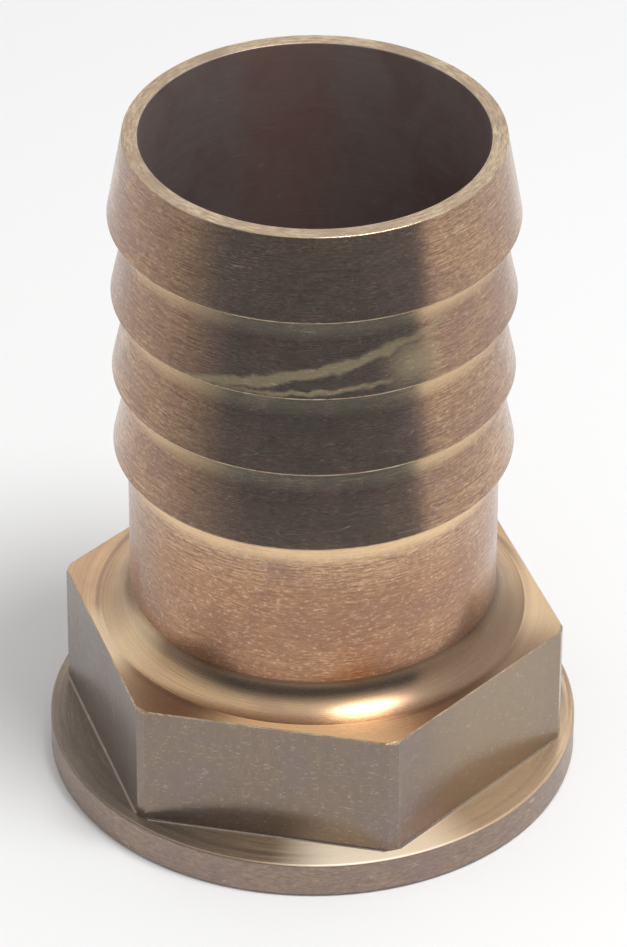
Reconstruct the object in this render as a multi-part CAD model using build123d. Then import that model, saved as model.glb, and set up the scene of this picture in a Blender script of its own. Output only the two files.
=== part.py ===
from build123d import *
from math import cos, radians
import os

# Female hose tail: one piece of cast bronze, turned all over, with six flats milled on it.
# It stands on its flange at Z = 0, and the hose end points up +Z. All sizes are in mm.
# Widths nest outwards from the bore: each one adds its own wall, step or lip.

# Tube and hose barbs
bore_diameter = 35.0
tube_wall = 1.45
barb_count = 4
barb_pitch = 9.0
barb_height = 1.5
tip_barb_extra = 0.25  # the first barb grips a little harder than the rest
rim_lip = 0.15  # the tip cone starts this much outside the plain tube
groove_land = 2.4  # plain tube between a barb's step and the next cone
groove_corner = 0.3  # slope that the tool's nose leaves at the foot of each step
crest_break = 0.08
rim_break = 0.12
neck_length = 20.4  # from the last barb down to the hexagon

# Hexagon
hexagon_height = 13.7
hexagon_wall = 2.045  # metal left between the thread and a flat: 46 mm across the flats
corner_trim = 0.308  # how far the turned blank cuts each corner back
corner_chamfer = 0.5
shoulder_radius = 3.2  # between the neck and the hexagon's top
cutter_radius = 0.3  # corner that the cutter leaves at the foot of each flat

# Flange
flange_thickness = 4.0
flange_lip = 1.25  # flange outside the hexagon's corners
flange_edge_radius = 0.4
base_chamfer = 0.3

# Female thread, G 1 1/4: a plain wall at its major diameter
seat_width = 3.455  # ledge for the sealing washer: makes the thread 41.91 across
thread_depth = 13.5
mouth_chamfer = 0.9
seat_chamfer = 1.0

# Making
cutter_clearance = 1.0  # the cutter reaches this far past the metal
fillet_share = 0.9  # a fillet takes at most this much of the face that it ends on
same_size = 0.001  # an edge this close to a size has that size

# Radii from the axis
bore_radius = bore_diameter / 2
tube_radius = bore_radius + tube_wall
rim_radius = tube_radius + rim_lip
crest_radius = tube_radius + barb_height
thread_radius = bore_radius + seat_width
flat_distance = thread_radius + hexagon_wall
corner_radius = flat_distance / cos(radians(30)) - corner_trim
flange_radius = corner_radius + flange_lip

# Heights above the base
hexagon_top = flange_thickness + hexagon_height
last_crest = hexagon_top + neck_length
overall_length = last_crest + barb_count * barb_pitch

# The shoulder ends inside the corner chamfer, and the cutter's corner below it
shoulder_room = corner_radius - corner_chamfer - tube_radius
shoulder_fillet = min(shoulder_radius, fillet_share * shoulder_room)
foot_fillet = min(cutter_radius, fillet_share * (hexagon_height - corner_chamfer))


def turned_outline():
    """Points of half the turned blank, from the axis at the base up to the axis at the tip."""
    outline = [(0, 0), (flange_radius, 0), (flange_radius, flange_thickness)]
    outline += [(corner_radius, flange_thickness), (corner_radius, hexagon_top)]
    outline += [(tube_radius, hexagon_top), (tube_radius, last_crest)]
    for barb in range(barb_count):
        crest_height = last_crest + barb * barb_pitch
        if barb < barb_count - 1:
            cone_top = crest_height + barb_pitch - groove_land
            outline += [(crest_radius, crest_height), (tube_radius, cone_top)]
            outline += [(tube_radius, crest_height + barb_pitch)]
        else:
            outline += [(crest_radius + tip_barb_extra, crest_height), (rim_radius, overall_length)]
    outline += [(0, overall_length)]
    return outline


def rings(solid, radius, heights):
    """The solid's circular edges of one radius at the given heights."""
    circles = solid.edges().filter_by(GeomType.CIRCLE)
    return [
        circle
        for circle in circles
        if abs(circle.radius - radius) < same_size
        and any(abs(circle.arc_center.Z - height) < same_size for height in heights)
    ]


# Blank: turned in one go, with its shoulder rounded and its edges broken
crest_heights = [last_crest + barb * barb_pitch for barb in range(barb_count)]
blank = revolve(make_face(Plane.XZ * Polyline(*turned_outline(), close=True)), Axis.Z)
blank = fillet(rings(blank, tube_radius, [hexagon_top]), shoulder_fillet)
blank = fillet(rings(blank, flange_radius, [flange_thickness]), flange_edge_radius)
blank = chamfer(rings(blank, flange_radius, [0]), base_chamfer)
blank = chamfer(rings(blank, corner_radius, [hexagon_top]), corner_chamfer)
blank = chamfer(rings(blank, tube_radius, crest_heights), groove_corner)
blank = chamfer(rings(blank, crest_radius, crest_heights[:-1]), crest_break)
blank = chamfer(rings(blank, crest_radius + tip_barb_extra, crest_heights[-1:]), crest_break)
blank = chamfer(rings(blank, rim_radius, [overall_length]), rim_break)

# Passage: thread wall, washer seat and bore, with the chamfers a tap and a hose end need
passage_outline = [
    (0, 0),
    (thread_radius + mouth_chamfer, 0),
    (thread_radius, mouth_chamfer),
    (thread_radius, thread_depth),
    (bore_radius + seat_chamfer, thread_depth),
    (bore_radius, thread_depth + seat_chamfer),
    (bore_radius, overall_length - rim_break),
    (bore_radius + rim_break, overall_length),
    (0, overall_length),
]
passage = revolve(make_face(Plane.XZ * Polyline(*passage_outline, close=True)), Axis.Z)
turned_body = blank - passage

# Flats: a cutter runs down each of them to the flange's top and leaves its own small corner there
clear_above = hexagon_top + cutter_clearance
clear_outside = flange_radius + cutter_clearance
foot_distance = flat_distance + foot_fillet
foot_height = flange_thickness + foot_fillet
cutter_outline = Curve() + [
    Line((flat_distance, clear_above), (flat_distance, foot_height)),
    CenterArc((foot_distance, foot_height), foot_fillet, 180, 90),
    Line((foot_distance, flange_thickness), (clear_outside, flange_thickness)),
    Line((clear_outside, flange_thickness), (clear_outside, clear_above)),
    Line((clear_outside, clear_above), (flat_distance, clear_above)),
]
cutter = extrude(make_face(Plane.XZ * cutter_outline), clear_outside, both=True)
hose_tail = turned_body - PolarLocations(0, 6) * cutter

os.makedirs("parts", exist_ok=True)
hose_tail.label = "hose_tail"
export_step(hose_tail, "parts/hose_tail.step")
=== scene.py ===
from math import cos, hypot, pi, radians, sin, tan

import bmesh
import bpy
from mathutils import Matrix, Vector


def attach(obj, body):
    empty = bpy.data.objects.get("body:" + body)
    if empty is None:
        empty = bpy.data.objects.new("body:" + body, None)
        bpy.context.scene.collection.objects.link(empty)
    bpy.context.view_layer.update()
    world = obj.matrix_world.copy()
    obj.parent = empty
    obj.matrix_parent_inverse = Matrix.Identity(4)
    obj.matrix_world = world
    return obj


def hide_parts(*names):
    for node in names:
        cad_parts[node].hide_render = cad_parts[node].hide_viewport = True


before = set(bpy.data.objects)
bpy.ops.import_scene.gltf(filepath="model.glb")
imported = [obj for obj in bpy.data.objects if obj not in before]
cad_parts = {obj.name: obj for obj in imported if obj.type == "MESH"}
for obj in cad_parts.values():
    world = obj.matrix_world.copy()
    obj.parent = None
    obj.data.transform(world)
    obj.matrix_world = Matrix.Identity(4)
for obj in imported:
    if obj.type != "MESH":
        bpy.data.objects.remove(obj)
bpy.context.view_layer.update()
body = "root"
node = "hose_tail"


def mm(length):
    return length / 1000


def hexColour(code):
    # sRGB hex to the linear colour that a shader takes
    channels = [int(code[i : i + 2], 16) / 255 for i in (0, 2, 4)]
    linear = [c / 12.92 if c <= 0.04045 else ((c + 0.055) / 1.055) ** 2.4 for c in channels]
    return (*linear, 1.0)


def addNode(tree, kind, inputs=None, **settings):
    # adds one node, sets its options, and sets or links each of its inputs
    made = tree.nodes.new(kind)
    for name, value in settings.items():
        setattr(made, name, value)
    for name, value in (inputs or {}).items():
        if isinstance(value, bpy.types.NodeSocket):
            tree.links.new(value, made.inputs[name])
        else:
            made.inputs[name].default_value = value
    return made


def finishPiece(mesh, name, materials):
    # puts a mesh in the scene as a piece at the origin, with its materials
    piece = bpy.data.objects.new(name, mesh)
    bpy.context.scene.collection.objects.link(piece)
    for material in materials:
        mesh.materials.append(material)
    return piece


# Turned and milled body, in millimetres. The main sizes are the solid's. Its grooves are plain
# rings at the tube's radius, and its broken edges differ from these by up to 0.25.
tailSizes = {
    "boreRadius": 17.5,
    "tubeRadius": 18.95,
    "rimRadius": 19.1,
    "crestRadius": 20.45,
    "tipCrestRadius": 20.7,
    "barbPitch": 9.0,
    "barbCount": 4,
    "grooveFoot": 18.5,  # each cone narrows upwards to this radius, under the next barb's step
    "grooveRadius": 0.35,
    "crestBreak": 0.18,
    "rimBreak": 0.12,
    "lowestCrest": 38.1,
    "flats": 6,
    "flatDistance": 23.0,
    "cornerRadius": 26.25,
    "hexagonTop": 17.7,
    "cornerChamfer": 0.25,
    "edgeBreak": 0.12,
    "shoulderRadius": 3.2,
    "cutterRadius": 0.3,
    "flangeRadius": 27.5,
    "flangeThickness": 4.0,
    "flangeEdge": 0.3,
    "baseChamfer": 0.3,
    "threadRadius": 20.955,
    "threadDepth": 13.5,
    "mouthChamfer": 0.9,
    "seatChamfer": 1.0,
    "overallLength": 74.1,
    # how finely the curves are divided, round the axis and round each kind of corner
    "roundSteps": 384,
    "shoulderSteps": 28,
    "flangeEdgeSteps": 12,
    "grooveSteps": 10,
    "cutterSteps": 10,
    "breakSteps": 3,
    "mergeDistance": 0.0005,  # points of the cut mesh that are closer than this become one
    "sharpAngle": 10,  # degrees between two faces, past which their edge stays sharp
}


def profileCorners(sizes):
    # (radius, height, rounding, steps of the rounding) for each corner of the turned outline
    top = sizes["overallLength"]
    flangeTop, hexagonTop = sizes["flangeThickness"], sizes["hexagonTop"]
    cornerRadius, chamfer = sizes["cornerRadius"], sizes["cornerChamfer"]
    groove = (sizes["grooveRadius"], sizes["grooveSteps"])
    rim = (sizes["rimBreak"], sizes["breakSteps"])
    square = (0, 0)
    corners = [
        (sizes["threadRadius"] + sizes["mouthChamfer"], 0, *square),
        (sizes["flangeRadius"] - sizes["baseChamfer"], 0, *square),
        (sizes["flangeRadius"], sizes["baseChamfer"], *square),
        (sizes["flangeRadius"], flangeTop, sizes["flangeEdge"], sizes["flangeEdgeSteps"]),
        (cornerRadius, flangeTop, *square),
        (cornerRadius, hexagonTop - chamfer, *square),
        (cornerRadius - chamfer, hexagonTop, *square),
        (sizes["tubeRadius"], hexagonTop, sizes["shoulderRadius"], sizes["shoulderSteps"]),
        (sizes["tubeRadius"], sizes["lowestCrest"], *groove),
    ]
    for barb in range(sizes["barbCount"]):
        crest = sizes["lowestCrest"] + barb * sizes["barbPitch"]
        tip = barb == sizes["barbCount"] - 1
        radius = sizes["tipCrestRadius"] if tip else sizes["crestRadius"]
        corners += [(radius, crest, sizes["crestBreak"], sizes["breakSteps"])]
        if not tip:
            corners += [(sizes["grooveFoot"], crest + sizes["barbPitch"], *groove)]
    corners += [
        (sizes["rimRadius"], top, *rim),
        (sizes["boreRadius"], top, *rim),
        (sizes["boreRadius"], sizes["threadDepth"] + sizes["seatChamfer"], *square),
        (sizes["boreRadius"] + sizes["seatChamfer"], sizes["threadDepth"], *square),
        (sizes["threadRadius"], sizes["threadDepth"], *square),
        (sizes["threadRadius"], sizes["mouthChamfer"], *square),
    ]
    return corners


def turnBody(sizes):
    # draws half the outline, rounds its corners and spins it about the axis
    turned = bmesh.new()
    corners = profileCorners(sizes)
    points = [turned.verts.new((mm(radius), 0, mm(height))) for radius, height, _, _ in corners]
    for start, end in zip(points, points[1:] + points[:1]):
        turned.edges.new((start, end))
    for point, (_, _, rounding, steps) in zip(points, corners):
        if rounding:
            bmesh.ops.bevel(
                turned, geom=[point], offset=mm(rounding), segments=steps,
                profile=0.5, affect="VERTICES", material=-1,
            )
    bmesh.ops.spin(
        turned, geom=turned.verts[:] + turned.edges[:], axis=(0, 0, 1), cent=(0, 0, 0),
        angle=2 * pi, steps=sizes["roundSteps"], use_merge=True,
    )
    bmesh.ops.recalc_face_normals(turned, faces=turned.faces[:])
    mesh = bpy.data.meshes.new("hoseTailBody")
    turned.to_mesh(mesh)
    turned.free()
    return mesh


def makeFlatCutters(sizes):
    # six cutters with a rounded lower corner, one for each flat, that also break its top edge
    cutters = bmesh.new()
    flat, ledge, top = sizes["flatDistance"], sizes["flangeThickness"], sizes["hexagonTop"]
    overlap, reach = 0.3, 5.0  # how far a cutter passes the top edge, and sticks out of the flat
    clearShare = 0.96  # of a flat's length: a cutter stops short of the next one
    outline = [
        (flat - sizes["edgeBreak"] - overlap, top + overlap),
        (flat, top - sizes["edgeBreak"]),
        (flat, ledge),
        (flat + reach, ledge),
        (flat + reach, top + 2 * overlap),
        (flat - sizes["edgeBreak"] - overlap, top + 2 * overlap),
    ]
    turn = 360 / sizes["flats"]
    halfLength = mm(clearShare * flat * tan(radians(turn / 2)))
    points = [cutters.verts.new((mm(x), -halfLength, mm(z))) for x, z in outline]
    for start, end in zip(points, points[1:] + points[:1]):
        cutters.edges.new((start, end))
    lowerCorner = points[2]
    bmesh.ops.bevel(
        cutters, geom=[lowerCorner], offset=mm(sizes["cutterRadius"]),
        segments=sizes["cutterSteps"], profile=0.5, affect="VERTICES", material=-1,
    )
    bmesh.ops.contextual_create(cutters, geom=cutters.edges[:])
    grown = bmesh.ops.extrude_face_region(cutters, geom=cutters.faces[:])
    moved = [part for part in grown["geom"] if isinstance(part, bmesh.types.BMVert)]
    bmesh.ops.translate(cutters, verts=moved, vec=(0, 2 * halfLength, 0))
    bmesh.ops.spin(
        cutters, geom=cutters.verts[:] + cutters.edges[:] + cutters.faces[:], axis=(0, 0, 1),
        cent=(0, 0, 0), angle=radians(360 - turn), steps=sizes["flats"] - 1, use_duplicate=True,
    )
    bmesh.ops.recalc_face_normals(cutters, faces=cutters.faces[:])
    mesh = bpy.data.meshes.new("flatCutters")
    cutters.to_mesh(mesh)
    cutters.free()
    return mesh


def applyModifiers(piece):
    # bakes the modifiers into the mesh
    depsgraph = bpy.context.evaluated_depsgraph_get()
    baked = bpy.data.meshes.new_from_object(piece.evaluated_get(depsgraph))
    piece.modifiers.clear()
    piece.data = baked


def buildTail(sizes, materials):
    # turns the body and mills the flats off it
    tail = finishPiece(turnBody(sizes), "hoseTailBody", materials)
    cutters = finishPiece(makeFlatCutters(sizes), "flatCutters", [])
    cut = tail.modifiers.new("millFlats", "BOOLEAN")
    cut.operation = "DIFFERENCE"
    cut.solver = "EXACT"
    cut.object = cutters
    applyModifiers(tail)
    bpy.data.objects.remove(cutters)
    return tail


# Where one finish ends and the next starts: lengths in mm, and directions as the share of a
# face's normal that points outwards or up, from -1 to 1
finishLimits = {
    "inward": -0.5,
    "inwardAtRim": -0.3,
    "rimBand": 0.2,
    "rimUp": 0.4,
    "belowBarbs": 0.5,
    "clear": 0.01,  # a face this far off a level isn't on it
    "level": 0.95,
    "brokenEdgeUp": 0.6,
    "brokenEdgeReach": 1.5,  # times the size of the broken edge
    "ledgeUp": 0.5,
    "ledgeInside": 0.1,
    "base": 0.001,
    "edgeBand": 1,
}


def finishOf(face, sizes, limits):
    # which finish a face of the body has, from where it lies and which way it faces
    centre = face.calc_center_median()
    radius, height = 1000 * hypot(centre.x, centre.y), 1000 * centre.z
    outward = (face.normal.x * centre.x + face.normal.y * centre.y) / max(mm(radius), 1e-9)
    up = face.normal.z
    mouthRadius = sizes["threadRadius"] + sizes["mouthChamfer"]
    if outward < limits["inward"] and radius < mouthRadius:
        return "bored"
    if radius < sizes["boreRadius"] + sizes["rimBreak"] and outward < limits["inwardAtRim"]:
        return "bored"
    # The tube's top, the crests and the hexagon's broken edges: rubbed bare, and painted pale as
    # highlights
    if height > sizes["overallLength"] - limits["rimBand"] and up > limits["rimUp"]:
        return "wornHighlight"
    if height > sizes["lowestCrest"] - limits["belowBarbs"]:
        aboveCrest = (height - sizes["lowestCrest"]) % sizes["barbPitch"]
        outer = radius > sizes["crestRadius"] - sizes["crestBreak"]
        near = min(aboveCrest, sizes["barbPitch"] - aboveCrest) < sizes["crestBreak"]
        return "wornHighlight" if outer and near else "turned"
    if height > sizes["hexagonTop"] + sizes["shoulderRadius"]:
        return "turned"
    aboveHexagon = height > sizes["hexagonTop"] + limits["clear"]
    if aboveHexagon and radius > sizes["tubeRadius"] - limits["clear"]:
        return "polished"
    if height > sizes["hexagonTop"] - limits["clear"] and up > limits["level"]:
        return "burnished"
    if height > sizes["flangeThickness"] + limits["clear"]:
        edgeReach = limits["brokenEdgeReach"] * sizes["edgeBreak"]
        if up > limits["brokenEdgeUp"] and height > sizes["hexagonTop"] - edgeReach:
            return "wornHighlight"
        return "milled"
    if up > limits["ledgeUp"] and radius > sizes["flatDistance"] - limits["ledgeInside"]:
        return "faced"
    if height < limits["base"]:
        return "turned" if radius > sizes["threadRadius"] else "bored"
    if radius > sizes["flangeRadius"] - limits["edgeBand"]:
        return "rim"
    return "bored"


# Finishes of the bronze. Colours are sRGB. The grain is the length of the tool marks along the
# tool's way and their width across it, in mm: real ones are about 0.05 apart and would not show,
# so they are drawn coarser. "marks" is the colour down in them. Depths are in mm. Rings are
# (radius, half width, colour, amount) and patches (degrees round the axis, half width in degrees,
# colour, amount, how much they dull).
finishes = {
    # Fine-turned tube and barbs: warm rings with a silky sheen, reddish tarnish, pale grit
    "turned": {
        "name": "turnedBronze", "colour": "d8b088", "marks": "85604c", "tarnish": "9e7a6b",
        "grain": (3.0, 0.12), "roughness": 0.27, "spread": 0.10, "depth": 0.0011,
        "anisotropy": 0.5, "turned": True, "tarnished": 0.8, "speckled": 0.6, "scratched": 0.4,
        "metal": 1.0, "film": 1.0, "barbed": True, "rings": [], "patches": [],
    },
    # Shoulder polished by its form tool: long clear glints, a painted dark reflection ring where
    # the neck ends, and patches of painted highlight and painted reflection round it
    "polished": {
        "name": "polishedBronze", "colour": "d2b088", "marks": "bb9872", "tarnish": "b28a78",
        "grain": (14.0, 0.14), "roughness": 0.30, "spread": 0.08, "depth": 0.001,
        "anisotropy": 0.8, "turned": True, "tarnished": 0.5, "speckled": 0.0, "scratched": 0.15,
        "metal": 1.0, "film": 0.7, "barbed": False,
        "rings": [(19.0, 0.38, "6c5644", 0.85), (22.0, 0.2, "8a6a58", 0.3)],
        "patches": [(-46, 25, "7c624a", 0.85, 0.0), (-178, 10, "f0d4ac", 0.5, 0.15),
                    (160, 12, "8c7054", 0.5, 0.0)],
    },
    # Hexagon's top, rubbed by the same tool: bright and dark fields that follow the circle,
    # painted reflections and highlights of the surroundings
    "burnished": {
        "name": "burnishedBronze", "colour": "d8b68e", "marks": "c09c76", "tarnish": "b28a78",
        "grain": (14.0, 0.14), "roughness": 0.28, "spread": 0.08, "depth": 0.001,
        "anisotropy": 0.6, "turned": True, "tarnished": 0.4, "speckled": 0.1, "scratched": 0.2,
        "metal": 0.95, "film": 0.6, "barbed": False,
        "rings": [(22.3, 0.3, "7a5850", 0.6), (24.6, 0.8, "a97f62", 0.3)],
        "patches": [(-110, 17, "f0c490", 0.9, 0.65), (-178, 9, "f8dcb4", 0.8, 0.5),
                    (-150, 12, "8a6c50", 0.8, 0.0), (-19, 14, "e8caa0", 0.6, 0.15),
                    (-55, 16, "745842", 0.85, 0.0)],
    },
    # Milled flats, dulled by oxide: quiet grey-brown, darkened to paint the shaded floor they
    # mirror, and a painted lighter reflection on one flat, with short marks that run up and down
    "milled": {
        "name": "milledBronze", "colour": "8d7a68", "marks": "7a6b5f", "tarnish": "81716f",
        "grain": (1.8, 0.09), "roughness": 0.24, "spread": 0.08, "depth": 0.0014,
        "anisotropy": 0.2, "turned": False, "tarnished": 0.8, "speckled": 0.25, "scratched": 0.2,
        "metal": 0.86, "film": 0.9, "barbed": False, "rings": [],
        "patches": [(-52, 16, "a08a68", 0.5, 0.0)],
    },
    # Flange's upper face, faced with a coarser feed: straw yellow and brown in its marks, with
    # painted highlights and painted shade on different sides, and a painted shadow line round it
    "faced": {
        "name": "facedBronze", "colour": "dcbe98", "marks": "866e58", "tarnish": "a48670",
        "grain": (9.0, 0.26), "roughness": 0.32, "spread": 0.12, "depth": 0.004,
        "anisotropy": 0.3, "turned": True, "tarnished": 0.6, "speckled": 0.15, "scratched": 0.4,
        "metal": 0.75, "film": 0.8, "barbed": False, "rings": [(25.9, 0.2, "5f4a3c", 0.4)],
        "patches": [(-93, 13, "fff0d6", 0.9, 0.75), (-58, 26, "dcbc98", 0.55, 0.3),
                    (-176, 34, "5a5048", 0.8, 0.1)],
    },
    # Flange's outer edge, oxidised by handling: matt brown, darkened to paint the shaded floor it
    # mirrors, with a short rough grain
    "rim": {
        "name": "rimBronze", "colour": "a28c7b", "marks": "877264", "tarnish": "8f7b76",
        "grain": (1.0, 0.30), "roughness": 0.46, "spread": 0.08, "depth": 0.006,
        "anisotropy": 0.2, "turned": True, "tarnished": 0.6, "speckled": 0.25, "scratched": 0.5,
        "metal": 0.88, "film": 0.8, "barbed": False, "rings": [], "patches": [],
    },
    # Bore, seat and thread, never polished: cool and greyish, with faint long rings
    "bored": {
        "name": "boredBronze", "colour": "aa9b96", "marks": "9a8b88", "tarnish": "8a7070",
        "grain": (16.0, 0.30), "roughness": 0.42, "spread": 0.08, "depth": 0.004,
        "anisotropy": 0.4, "turned": True, "tarnished": 0.7, "speckled": 0.05, "scratched": 0.2,
        "metal": 0.72, "film": 0.9, "barbed": False, "rings": [],
        "patches": [(82, 11, "a86c58", 0.3, 0.0)],
    },
    # Crests and broken edges, rubbed bare and painted pale as highlights: thin light lines that
    # outline each form
    "wornHighlight": {
        "name": "wornEdgeHighlightBronze", "colour": "dcc4a2", "marks": "927c66", "tarnish": "a0866e",
        "grain": (1.4, 0.20), "roughness": 0.28, "spread": 0.12, "depth": 0.006,
        "anisotropy": 0.0, "turned": True, "tarnished": 0.8, "speckled": 0.2, "scratched": 0.3,
        "metal": 0.92, "film": 0.5, "barbed": False, "rings": [], "patches": [],
    },
}

# Painted light on the barbs: a pale band under each crest, a painted highlight for the lit floor
# it mirrors, with its edges in mm above the crest below it, and the redder neck, painted shade for
# the shadowed floor it mirrors, which starts at its top and is in full colour a blend further down
barbTones = {
    "groove": "eecb9e", "grooveFoot": 6.0, "grooveHead": 7.3, "grooveAmount": 0.8,
    "neck": "9c6c48", "neckTop": 35.0, "neckBlend": 4.0, "neckAmount": 0.5,
}

# Olive stain on the second barb: a streak that climbs round it and ends in a patch
stain = {
    "colour": "a5976e",
    "streaks": [  # start and end in degrees round the axis and mm up, half width in mm, strength
        ((-142.0, 56.4), (-82.0, 60.9), 0.42, 1.0),
        ((-133.0, 56.4), (-84.0, 57.4), 0.22, 0.6),
    ],
    "patch": (-79.0, 58.6),
    "patchSize": (6.5, 1.9),  # degrees, mm
    "amount": 0.75,
    "dulled": 0.6,  # how much less it reflects
    "ragged": 1.8,  # mm, size of the raggedness of its edges
    "wander": 1.4,  # mm, how far they stray
}

# Patterns that every finish has. Sizes are in mm. A range gives the values of a noise, or of a
# distance, where the pattern starts and where it is in full.
patterns = {
    "marksRange": (0.34, 0.66),
    "cloudSize": 7,
    "cloudRange": (0.4, 0.68),
    "hairlineSize": (8, 8, 1.1),
    "hairlineMiddle": 0.5,  # the level of the noise that a hairline follows
    "hairlineRange": (0.002, 0.006),
    "hairlineBreaks": 1.6,
    "hairlineBreaksRange": (0.55, 0.62),
    "hairlineColour": "ead2b4",
    "hairlineDulls": 0.5,
    "hairlineRise": -0.6,
    "pitSpacing": 0.9,
    "pitRange": (0.06, 0.16),
    "pitRise": -0.5,
    "gritSize": (0.6, 0.6, 0.24),
    "gritRise": 0.5,
    "speckleRange": (0.56, 0.74),
    "speckleColour": "e6cdb0",
    "grimeRange": (0.48, 0.28),
    "grimeShare": 1.3,  # of the speckle's amount
    "reliefScale": 4,  # a noise spans about a quarter of its range
    "glintTurn": 0.25,  # of a full turn: glints spread across the marks
    "filmRoughness": 0.55,
}


def bell(tree, value, centre, halfWidth, height):
    # a soft band of the given height where a value lies close to its centre
    offset = addNode(tree, "ShaderNodeMath", {0: value, 1: centre}, operation="SUBTRACT")
    offset = addNode(tree, "ShaderNodeMath", {0: offset.outputs["Value"]}, operation="ABSOLUTE")
    return addNode(
        tree, "ShaderNodeMapRange",
        {"Value": offset.outputs["Value"], "From Min": 0.0, "From Max": 2 * halfWidth,
         "To Min": height, "To Max": 0.0},
        interpolation_type="SMOOTHSTEP",
    ).outputs["Result"]


def turnBell(tree, angle, centre, halfWidth, height):
    # the same round the axis, in degrees, with no seam at the back
    offset = addNode(
        tree, "ShaderNodeMath", {0: angle, 1: radians(centre)}, operation="SUBTRACT",
    ).outputs["Value"]
    closeness = addNode(tree, "ShaderNodeMath", {0: offset}, operation="COSINE").outputs["Value"]
    return addNode(
        tree, "ShaderNodeMapRange",
        {"Value": closeness, "From Min": cos(radians(2 * halfWidth)), "From Max": 1.0,
         "To Max": height},
        interpolation_type="SMOOTHSTEP",
    ).outputs["Result"]


def stainMask(tree, place, height, angle, mark):
    # ragged streaks that climb round the barb, and a patch at their end
    ragged = addNode(
        tree, "ShaderNodeTexNoise",
        {"Vector": place, "Scale": 1 / mm(mark["ragged"]), "Detail": 4.0},
    ).outputs["Fac"]
    wander = mm(mark["wander"])
    ragged = addNode(
        tree, "ShaderNodeMath", {0: ragged, 1: wander, 2: height}, operation="MULTIPLY_ADD",
    ).outputs["Value"]
    patchTurn, patchRise = mark["patch"]
    spreadTurn, spreadRise = mark["patchSize"]
    across = bell(tree, angle, radians(patchTurn), radians(spreadTurn), 1.0)
    upward = bell(tree, ragged, mm(patchRise) + wander / 2, mm(spreadRise), 1.0)
    whole = addNode(
        tree, "ShaderNodeMath", {0: across, 1: upward}, operation="MULTIPLY",
    ).outputs["Value"]
    for (startTurn, startRise), (endTurn, endRise), halfWidth, strength in mark["streaks"]:
        slope = mm(endRise - startRise) / radians(endTurn - startTurn)
        level = addNode(
            tree, "ShaderNodeMath", {0: angle, 1: -slope, 2: ragged}, operation="MULTIPLY_ADD",
        ).outputs["Value"]
        foot = mm(startRise) - slope * radians(startTurn) + wander / 2
        streak = bell(tree, level, foot, mm(halfWidth), 1.0)
        middleTurn, halfTurn = radians((startTurn + endTurn) / 2), radians(endTurn - startTurn) / 2
        between = bell(tree, angle, middleTurn, halfTurn, 2 * strength)
        streak = addNode(
            tree, "ShaderNodeMath", {0: streak, 1: between}, operation="MULTIPLY", use_clamp=True,
        ).outputs["Value"]
        whole = addNode(
            tree, "ShaderNodeMath", {0: streak, 1: whole}, operation="MAXIMUM",
        ).outputs["Value"]
    return addNode(
        tree, "ShaderNodeMath", {0: whole, 1: mark["amount"]}, operation="MULTIPLY",
    ).outputs["Value"]


def barbLayers(tree, height, tones, sizes):
    # the painted shade of the redder neck and the painted highlight band under each crest, as
    # shares with their colours
    lowest, pitch = sizes["lowestCrest"], sizes["barbPitch"]
    barbs = addNode(
        tree, "ShaderNodeMath", {0: height, 1: 1 / mm(pitch), 2: -lowest / pitch},
        operation="MULTIPLY_ADD",
    ).outputs["Value"]
    within = addNode(tree, "ShaderNodeMath", {0: barbs}, operation="FRACT").outputs["Value"]
    # from half a pitch below the lowest crest up to the top one
    below, top = 0.5, sizes["barbCount"] - 1
    above = addNode(
        tree, "ShaderNodeMath", {0: barbs, 1: (top - below) / 2, 2: (top + below) / 2},
        operation="COMPARE",
    ).outputs["Value"]
    grooveHighlight = addNode(
        tree, "ShaderNodeMapRange",
        {"Value": within, "From Min": tones["grooveFoot"] / pitch,
         "From Max": tones["grooveHead"] / pitch, "To Max": tones["grooveAmount"]},
    ).outputs["Result"]
    grooveHighlight = addNode(
        tree, "ShaderNodeMath", {0: grooveHighlight, 1: above}, operation="MULTIPLY",
    ).outputs["Value"]
    neckShade = addNode(
        tree, "ShaderNodeMapRange",
        {"Value": height, "From Min": mm(tones["neckTop"]),
         "From Max": mm(tones["neckTop"] - tones["neckBlend"]), "To Max": tones["neckAmount"]},
    ).outputs["Result"]
    return [(neckShade, tones["neck"]), (grooveHighlight, tones["groove"])]


def hairlines(tree, place, markPlace, amount):
    # scratches: thin contours of a slow noise, broken up by another
    flattened = addNode(
        tree, "ShaderNodeVectorMath",
        {0: markPlace, 1: tuple(1 / mm(size) for size in patterns["hairlineSize"])},
        operation="MULTIPLY",
    ).outputs["Vector"]
    contour = addNode(
        tree, "ShaderNodeTexNoise",
        {"Vector": flattened, "Scale": 1.0, "Detail": 1.0, "Distortion": 0.2},
    ).outputs["Fac"]
    offLine = addNode(
        tree, "ShaderNodeMath", {0: contour, 1: patterns["hairlineMiddle"]},
        operation="SUBTRACT",
    ).outputs["Value"]
    offLine = addNode(tree, "ShaderNodeMath", {0: offLine}, operation="ABSOLUTE").outputs["Value"]
    thin, faint = patterns["hairlineRange"]
    line = addNode(
        tree, "ShaderNodeMapRange",
        {"Value": offLine, "From Min": thin, "From Max": faint, "To Min": 1.0, "To Max": 0.0},
    ).outputs["Result"]
    patchy = addNode(
        tree, "ShaderNodeTexNoise",
        {"Vector": place, "Scale": 1 / mm(patterns["hairlineBreaks"]), "Detail": 2.0},
    ).outputs["Fac"]
    start, full = patterns["hairlineBreaksRange"]
    patchy = addNode(
        tree, "ShaderNodeMapRange",
        {"Value": patchy, "From Min": start, "From Max": full, "To Max": amount},
    ).outputs["Result"]
    return addNode(
        tree, "ShaderNodeMath", {0: line, 1: patchy}, operation="MULTIPLY",
    ).outputs["Value"]


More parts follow.
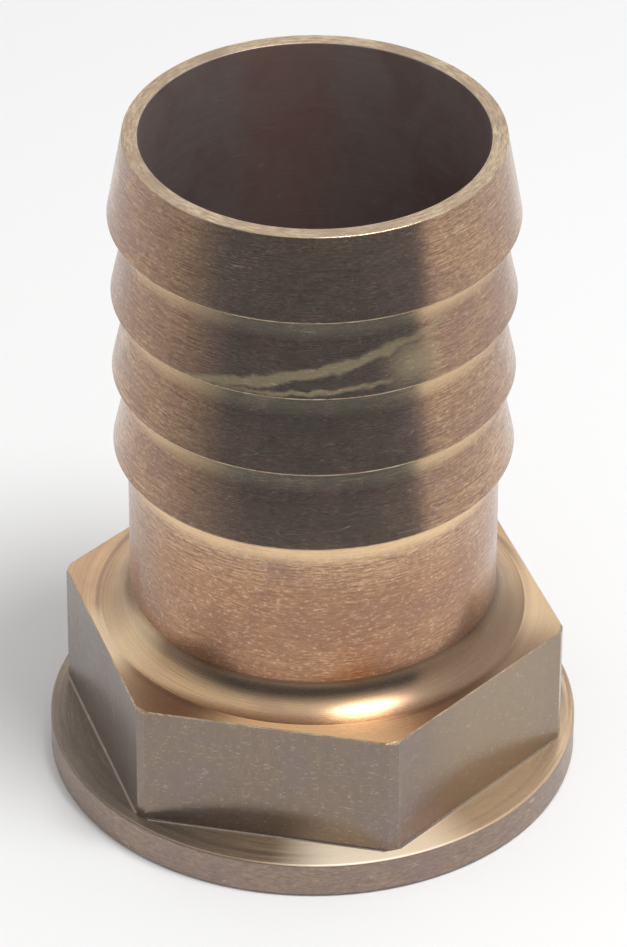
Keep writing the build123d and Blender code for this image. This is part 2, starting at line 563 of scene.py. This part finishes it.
def bronze(look):
    # metal with tool marks, tarnish in patches, small pits, grit and hairline scratches
    material = bpy.data.materials.new(look["name"])
    material.use_nodes = True
    tree = material.node_tree
    shader = tree.nodes["Principled BSDF"]
    place = addNode(tree, "ShaderNodeTexCoord").outputs["Object"]
    axes = addNode(tree, "ShaderNodeSeparateXYZ", {"Vector": place}).outputs
    level = addNode(tree, "ShaderNodeVectorMath", {0: place, 1: (1, 1, 0)}, operation="MULTIPLY")
    radius = addNode(
        tree, "ShaderNodeVectorMath", {0: level.outputs["Vector"]}, operation="LENGTH",
    ).outputs["Value"]
    angle = addNode(
        tree, "ShaderNodeMath", {0: axes["Y"], 1: axes["X"]}, operation="ARCTAN2",
    ).outputs["Value"]

    # Tool marks: on turned faces they follow the circle, on milled ones they run up and down
    markPlace = place
    length, width = (1 / mm(size) for size in look["grain"])
    stretch = (width, width, length)
    if look["turned"]:
        climb = addNode(tree, "ShaderNodeMath", {0: axes["Z"], 1: radius}, operation="SUBTRACT")
        markPlace = addNode(
            tree, "ShaderNodeCombineXYZ",
            {"X": axes["X"], "Y": axes["Y"], "Z": climb.outputs["Value"]},
        ).outputs["Vector"]
        stretch = (length, length, width)
        ring = addNode(tree, "ShaderNodeTangent", direction_type="RADIAL", axis="Z")
        tree.links.new(ring.outputs["Tangent"], shader.inputs["Tangent"])
    drawn = addNode(tree, "ShaderNodeVectorMath", {0: markPlace, 1: stretch}, operation="MULTIPLY")
    marks = addNode(
        tree, "ShaderNodeTexNoise",
        {"Vector": drawn.outputs["Vector"], "Scale": 1.0, "Detail": 5.0, "Roughness": 0.65},
    ).outputs["Fac"]
    low, high = patterns["marksRange"]
    markTone = addNode(
        tree, "ShaderNodeMapRange", {"Value": marks, "From Min": low, "From Max": high},
    ).outputs["Result"]

    # Tarnish in cloudy patches
    cloud = addNode(
        tree, "ShaderNodeTexNoise",
        {"Vector": place, "Scale": 1 / mm(patterns["cloudSize"]), "Detail": 5.0,
         "Roughness": 0.6, "Distortion": 0.4},
    ).outputs["Fac"]
    low, high = patterns["cloudRange"]
    cloudTone = addNode(
        tree, "ShaderNodeMapRange",
        {"Value": cloud, "From Min": low, "From Max": high, "To Max": look["tarnished"]},
        interpolation_type="SMOOTHSTEP",
    ).outputs["Result"]

    # Pits: small dimples at the middles of a fine cell pattern
    cells = addNode(
        tree, "ShaderNodeTexVoronoi", {"Vector": place, "Scale": 1 / mm(patterns["pitSpacing"])},
    )
    deep, edge = patterns["pitRange"]
    pits = addNode(
        tree, "ShaderNodeMapRange",
        {"Value": cells.outputs["Distance"], "From Min": deep, "From Max": edge,
         "To Min": 1.0, "To Max": 0.0},
    ).outputs["Result"]

    # Grit: a fine noise whose peaks are pale speckle and whose hollows are grime
    gritPlace = addNode(
        tree, "ShaderNodeVectorMath",
        {0: markPlace, 1: tuple(1 / mm(size) for size in patterns["gritSize"])},
        operation="MULTIPLY",
    ).outputs["Vector"]
    grit = addNode(
        tree, "ShaderNodeTexNoise",
        {"Vector": gritPlace, "Scale": 1.0, "Detail": 2.0, "Roughness": 0.7},
    ).outputs["Fac"]
    speckle, grime = (
        addNode(
            tree, "ShaderNodeMapRange",
            {"Value": grit, "From Min": start, "From Max": full, "To Max": amount},
        ).outputs["Result"]
        for (start, full), amount in (
            (patterns["speckleRange"], look["speckled"]),
            (patterns["grimeRange"], patterns["grimeShare"] * look["speckled"]),
        )
    )
    scratches = hairlines(tree, place, markPlace, look["scratched"])

    # Colours laid one over another, each by its share, and the shares that dull the metal
    layers = [(markTone, look["colour"]), (cloudTone, look["tarnish"]), (grime, look["marks"])]
    dulling = [(scratches, patterns["hairlineDulls"])]
    # Rings and patches on the shoulder, hexagon's top, flats and flange are painted reflections,
    # highlights and shade
    for ringRadius, halfWidth, code, amount in look["rings"]:
        layers.append((bell(tree, radius, mm(ringRadius), mm(halfWidth), amount), code))
    for turn, halfTurn, code, amount, dulled in look["patches"]:
        near = turnBell(tree, angle, turn, halfTurn, amount)
        layers.append((near, code))
        dulling.append((near, dulled))
    # Barbed finish: painted shade on the neck, painted highlight bands under the crests, and a
    # real stain
    if look["barbed"]:
        layers += barbLayers(tree, axes["Z"], barbTones, tailSizes)
        stained = stainMask(tree, place, axes["Z"], angle, stain)
        layers.append((stained, stain["colour"]))
        dulling.append((stained, stain["dulled"]))
    layers += [(speckle, patterns["speckleColour"]), (scratches, patterns["hairlineColour"])]

    colour = hexColour(look["marks"])
    for share, code in layers:
        colour = addNode(
            tree, "ShaderNodeMix", {"Factor": share, 6: colour, 7: hexColour(code)},
            data_type="RGBA",
        ).outputs[2]
    tree.links.new(colour, shader.inputs["Base Color"])

    metal = look["metal"]
    for share, dulled in dulling:
        metal = addNode(
            tree, "ShaderNodeMath", {0: share, 1: -dulled, 2: metal}, operation="MULTIPLY_ADD",
        ).outputs["Value"]
    tree.links.new(metal, shader.inputs["Metallic"])

    wear = addNode(
        tree, "ShaderNodeMath", {0: cloudTone, 1: markTone}, operation="SUBTRACT",
    ).outputs["Value"]
    roughness = addNode(
        tree, "ShaderNodeMath", {0: wear, 1: look["spread"], 2: look["roughness"]},
        operation="MULTIPLY_ADD",
    ).outputs["Value"]
    tree.links.new(roughness, shader.inputs["Roughness"])

    relief = marks
    for share, rise in (
        (pits, patterns["pitRise"]),
        (scratches, patterns["hairlineRise"]),
        (grit, patterns["gritRise"]),
    ):
        relief = addNode(
            tree, "ShaderNodeMath", {0: share, 1: rise, 2: relief}, operation="MULTIPLY_ADD",
        ).outputs["Value"]
    depth = mm(look["depth"]) * patterns["reliefScale"]
    bump = addNode(
        tree, "ShaderNodeBump", {"Height": relief, "Distance": depth, "Strength": 1.0},
    )
    tree.links.new(bump.outputs["Normal"], shader.inputs["Normal"])
    shader.inputs["Anisotropic"].default_value = look["anisotropy"]
    shader.inputs["Anisotropic Rotation"].default_value = patterns["glintTurn"]
    shader.inputs["Coat Weight"].default_value = look["film"]  # a dull film of oxide and handling
    shader.inputs["Coat Roughness"].default_value = patterns["filmRoughness"]
    return material


print("materials")
order = list(finishes)
materials = {kind: bronze(finishes[kind]) for kind in order}

print("body")
tail = buildTail(tailSizes, [materials[kind] for kind in order])
for face in tail.data.polygons:
    face.use_smooth = True
mesh = bmesh.new()
mesh.from_mesh(tail.data)
bmesh.ops.remove_doubles(mesh, verts=mesh.verts[:], dist=mm(tailSizes["mergeDistance"]))
bmesh.ops.recalc_face_normals(mesh, faces=mesh.faces[:])
for face in mesh.faces:
    face.material_index = order.index(finishOf(face, tailSizes, finishLimits))
mesh.to_mesh(tail.data)
mesh.free()
tail.data.set_sharp_from_angle(angle=radians(tailSizes["sharpAngle"]))
smooth = tail.modifiers.new("weightNormals", "WEIGHTED_NORMAL")
smooth.keep_sharp = True
print("faces", len(tail.data.polygons), "verts", len(tail.data.vertices))
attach(tail, body)
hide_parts(node)


# Female thread in mm: one ridge that winds up the mouth, G 1 1/4
threadSizes = {
    "rootRadius": 21.25,  # buried in the wall, so the flanks cross the wall cleanly
    "crestRadius": 19.476,
    "pitch": 2.309,
    "crestWidth": 0.38,
    "rootWidth": 0.3,
    "bottom": 0.9,
    "top": 13.3,
    "runIn": 1.2,  # turns that start below the bottom, to be cut off
    "stepsPerTurn": 120,
    "turns": 8,
    "sharpAngle": 15,
}


def buildThread(sizes, materials):
    # winds the ridge's profile up the axis, then cuts its ends level
    ridge = bmesh.new()
    start = sizes["bottom"] - sizes["runIn"] * sizes["pitch"]
    outline = [
        (sizes["rootRadius"], -(sizes["pitch"] - sizes["rootWidth"]) / 2),
        (sizes["crestRadius"], -sizes["crestWidth"] / 2),
        (sizes["crestRadius"], sizes["crestWidth"] / 2),
        (sizes["rootRadius"], (sizes["pitch"] - sizes["rootWidth"]) / 2),
    ]
    points = [ridge.verts.new((mm(radius), 0, mm(start + rise))) for radius, rise in outline]
    ridge.faces.new(points)
    steps = sizes["stepsPerTurn"] * sizes["turns"]
    bmesh.ops.spin(
        ridge, geom=ridge.verts[:] + ridge.edges[:] + ridge.faces[:],
        axis=(0, 0, 1), cent=(0, 0, 0), dvec=(0, 0, mm(sizes["pitch"]) / sizes["stepsPerTurn"]),
        angle=2 * pi * sizes["turns"], steps=steps,
    )
    bmesh.ops.recalc_face_normals(ridge, faces=ridge.faces[:])
    for height, upward in ((sizes["bottom"], -1), (sizes["top"], 1)):
        bmesh.ops.bisect_plane(
            ridge, geom=ridge.verts[:] + ridge.edges[:] + ridge.faces[:],
            plane_co=(0, 0, mm(height)), plane_no=(0, 0, upward), clear_outer=True,
        )
        openEdges = [edge for edge in ridge.edges if len(edge.link_faces) == 1]
        bmesh.ops.holes_fill(ridge, edges=openEdges, sides=0)
    bmesh.ops.recalc_face_normals(ridge, faces=ridge.faces[:])
    mesh = bpy.data.meshes.new("threadRidge")
    ridge.to_mesh(mesh)
    ridge.free()
    return finishPiece(mesh, "threadRidge", materials)


print("thread")
thread = buildThread(threadSizes, [materials["bored"]])
for face in thread.data.polygons:
    face.use_smooth = True
thread.data.set_sharp_from_angle(angle=radians(threadSizes["sharpAngle"]))
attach(thread, body)

# Camera: looks down at the hose end, turned 18 degrees off the -Y side
cameraPlace = {
    "azimuth": -18.16,  # degrees round the axis from the -Y side
    "distance": 505.01,  # mm from the axis
    "height": 383.08,
    "pitch": 34.704,
    "roll": 0.212,
    "lens": 228.09,
    "sensor": 36,
    "nearest": 10,
}


def placeCamera(view):
    camera = bpy.data.objects.new("camera", bpy.data.cameras.new("camera"))
    bpy.context.scene.collection.objects.link(camera)
    camera.matrix_world = (
        Matrix.Rotation(radians(view["azimuth"]), 4, "Z")
        @ Matrix.Translation((0, -mm(view["distance"]), mm(view["height"])))
        @ Matrix.Rotation(radians(90 - view["pitch"]), 4, "X")
        @ Matrix.Rotation(radians(view["roll"]), 4, "Z")
    )
    camera.data.sensor_width = view["sensor"]
    camera.data.lens = view["lens"]
    camera.data.clip_start = mm(view["nearest"])
    bpy.context.scene.camera = camera


# Studio: pale floor and surroundings, one softbox overhead, and a curved card round the front
# that only reflections see. Lengths are in mm, directions in degrees round the axis and above
# the floor. The card's tones are given by the degrees from its middle, at the camera's side:
# blue-grey before the part, which keeps the metal's dark zone neutral, and pale at its ends.
studio = {
    "surroundings": "ffffff",
    "skyLight": 0.6,
    "floor": "f4f4f4",
    "floorRoughness": 0.9,
    "floorHalfSide": 4000,
    "softboxTurn": -50.0,
    "softboxRise": 70.0,
    "softboxDistance": 600.0,
    "softboxSize": 210.0,
    "softboxPower": 2.0,
    "cardRadius": 120.0,
    "cardFoot": 1,
    "cardHeight": 235.0,
    "cardSpan": 140.0,  # half of its sweep, either side of the camera
    "cardSteps": 120,
    "cardTones": [
        (-140, "f0f0f0"), (-106, "e0e0e0"), (-84, "c6c6c6"), (-60, "8e9296"), (-42, "3e5064"),
        (55, "3e5064"), (60, "e2e2e2"), (106, "e8e8e8"), (140, "f0f0f0"),
    ],
    "cardTop": "f0f0f0",
    "cardFade": (30, 180),  # heights between which the tones turn into the top's
}


def buildWorld(values):
    # the camera and reflections see the surroundings in full, and they light matt surfaces less
    world = bpy.data.worlds.new("studio")
    bpy.context.scene.world = world
    world.use_nodes = True
    tree = world.node_tree
    path = addNode(tree, "ShaderNodeLightPath").outputs
    seen = addNode(
        tree, "ShaderNodeMath", {0: path["Is Camera Ray"], 1: path["Is Glossy Ray"]},
        operation="MAXIMUM",
    ).outputs["Value"]
    seen = addNode(
        tree, "ShaderNodeMath", {0: seen, 1: path["Is Transmission Ray"]}, operation="MAXIMUM",
    ).outputs["Value"]
    strength = addNode(
        tree, "ShaderNodeMapRange", {"Value": seen, "To Min": values["skyLight"], "To Max": 1.0},
    ).outputs["Result"]
    background = tree.nodes["Background"]
    background.inputs["Color"].default_value = hexColour(values["surroundings"])
    tree.links.new(strength, background.inputs["Strength"])


def buildFloor(values):
    plane = bmesh.new()
    bmesh.ops.create_grid(plane, x_segments=1, y_segments=1, size=mm(values["floorHalfSide"]))
    mesh = bpy.data.meshes.new("floor")
    plane.to_mesh(mesh)
    plane.free()
    matt = bpy.data.materials.new("paleFloor")  # smooth matt board: takes a soft, pale shadow
    matt.use_nodes = True
    shader = matt.node_tree.nodes["Principled BSDF"]
    shader.inputs["Base Color"].default_value = hexColour(values["floor"])
    shader.inputs["Roughness"].default_value = values["floorRoughness"]
    floor = finishPiece(mesh, "floor", [matt])


def buildSoftbox(values):
    lamp = bpy.data.lights.new("softbox", "AREA")
    lamp.shape = "DISK"
    lamp.size = mm(values["softboxSize"])
    lamp.energy = values["softboxPower"]
    softbox = bpy.data.objects.new("softbox", lamp)
    bpy.context.scene.collection.objects.link(softbox)
    turn, rise = radians(values["softboxTurn"]), radians(values["softboxRise"])
    away = Vector((cos(turn) * cos(rise), sin(turn) * cos(rise), sin(rise)))
    softbox.location = away * mm(values["softboxDistance"])
    softbox.rotation_euler = away.to_track_quat("Z", "Y").to_euler()


def buildCard(values, middle):
    # sweeps an upright line round the front, and paints it with light
    sheet = bmesh.new()
    foot = sheet.verts.new((0, 0, mm(values["cardFoot"])))
    head = sheet.verts.new((0, 0, mm(values["cardHeight"])))
    edge = sheet.edges.new((foot, head))
    away, first = mm(values["cardRadius"]), radians(middle - values["cardSpan"])
    for point in (foot, head):
        point.co.x, point.co.y = away * cos(first), away * sin(first)
    bmesh.ops.spin(
        sheet, geom=[foot, head, edge], axis=(0, 0, 1), cent=(0, 0, 0),
        angle=radians(2 * values["cardSpan"]), steps=values["cardSteps"],
    )
    mesh = bpy.data.meshes.new("card")
    sheet.to_mesh(mesh)
    sheet.free()
    # Lit card: the metal mirrors a blue-grey zone in front, paler at its sides and above
    paint = bpy.data.materials.new("greyCard")
    paint.use_nodes = True
    tree = paint.node_tree
    tree.nodes.remove(tree.nodes["Principled BSDF"])
    place = addNode(tree, "ShaderNodeTexCoord").outputs["Object"]
    turned = addNode(
        tree, "ShaderNodeVectorRotate",
        {"Vector": place, "Angle": radians(90 - middle)}, rotation_type="Z_AXIS",
    ).outputs["Vector"]
    axes = addNode(tree, "ShaderNodeSeparateXYZ", {"Vector": turned}).outputs
    bearing = addNode(
        tree, "ShaderNodeMath", {0: axes["X"], 1: axes["Y"]}, operation="ARCTAN2",
    ).outputs["Value"]
    share = addNode(
        tree, "ShaderNodeMapRange",
        {"Value": bearing, "From Min": -pi, "From Max": pi, "To Min": 1.0, "To Max": 0.0},
    ).outputs["Result"]
    ramp = addNode(tree, "ShaderNodeValToRGB", {"Fac": share})
    stops = ramp.color_ramp.elements
    while len(stops) < len(values["cardTones"]):
        stops.new(0.5)
    for stop, (degrees, tone) in zip(stops, values["cardTones"]):
        stop.position = (degrees + 180) / 360
        stop.color = hexColour(tone)
    lowest, highest = (mm(height) for height in values["cardFade"])
    upward = addNode(
        tree, "ShaderNodeMapRange",
        {"Value": axes["Z"], "From Min": lowest, "From Max": highest},
        interpolation_type="SMOOTHSTEP",
    ).outputs["Result"]
    faded = addNode(
        tree, "ShaderNodeMix",
        {"Factor": upward, 6: ramp.outputs["Color"], 7: hexColour(values["cardTop"])},
        data_type="RGBA",
    ).outputs[2]
    glow = addNode(tree, "ShaderNodeEmission", {"Color": faded})
    tree.links.new(glow.outputs["Emission"], tree.nodes["Material Output"].inputs["Surface"])
    card = finishPiece(mesh, "card", [paint])
    card.visible_camera = False
    card.visible_diffuse = False
    card.visible_shadow = False
    card.visible_transmission = False


print("studio")
placeCamera(cameraPlace)
bpy.context.scene.view_settings.view_transform = "Standard"
buildWorld(studio)
buildFloor(studio)
buildSoftbox(studio)
buildCard(studio, cameraPlace["azimuth"] - 90)
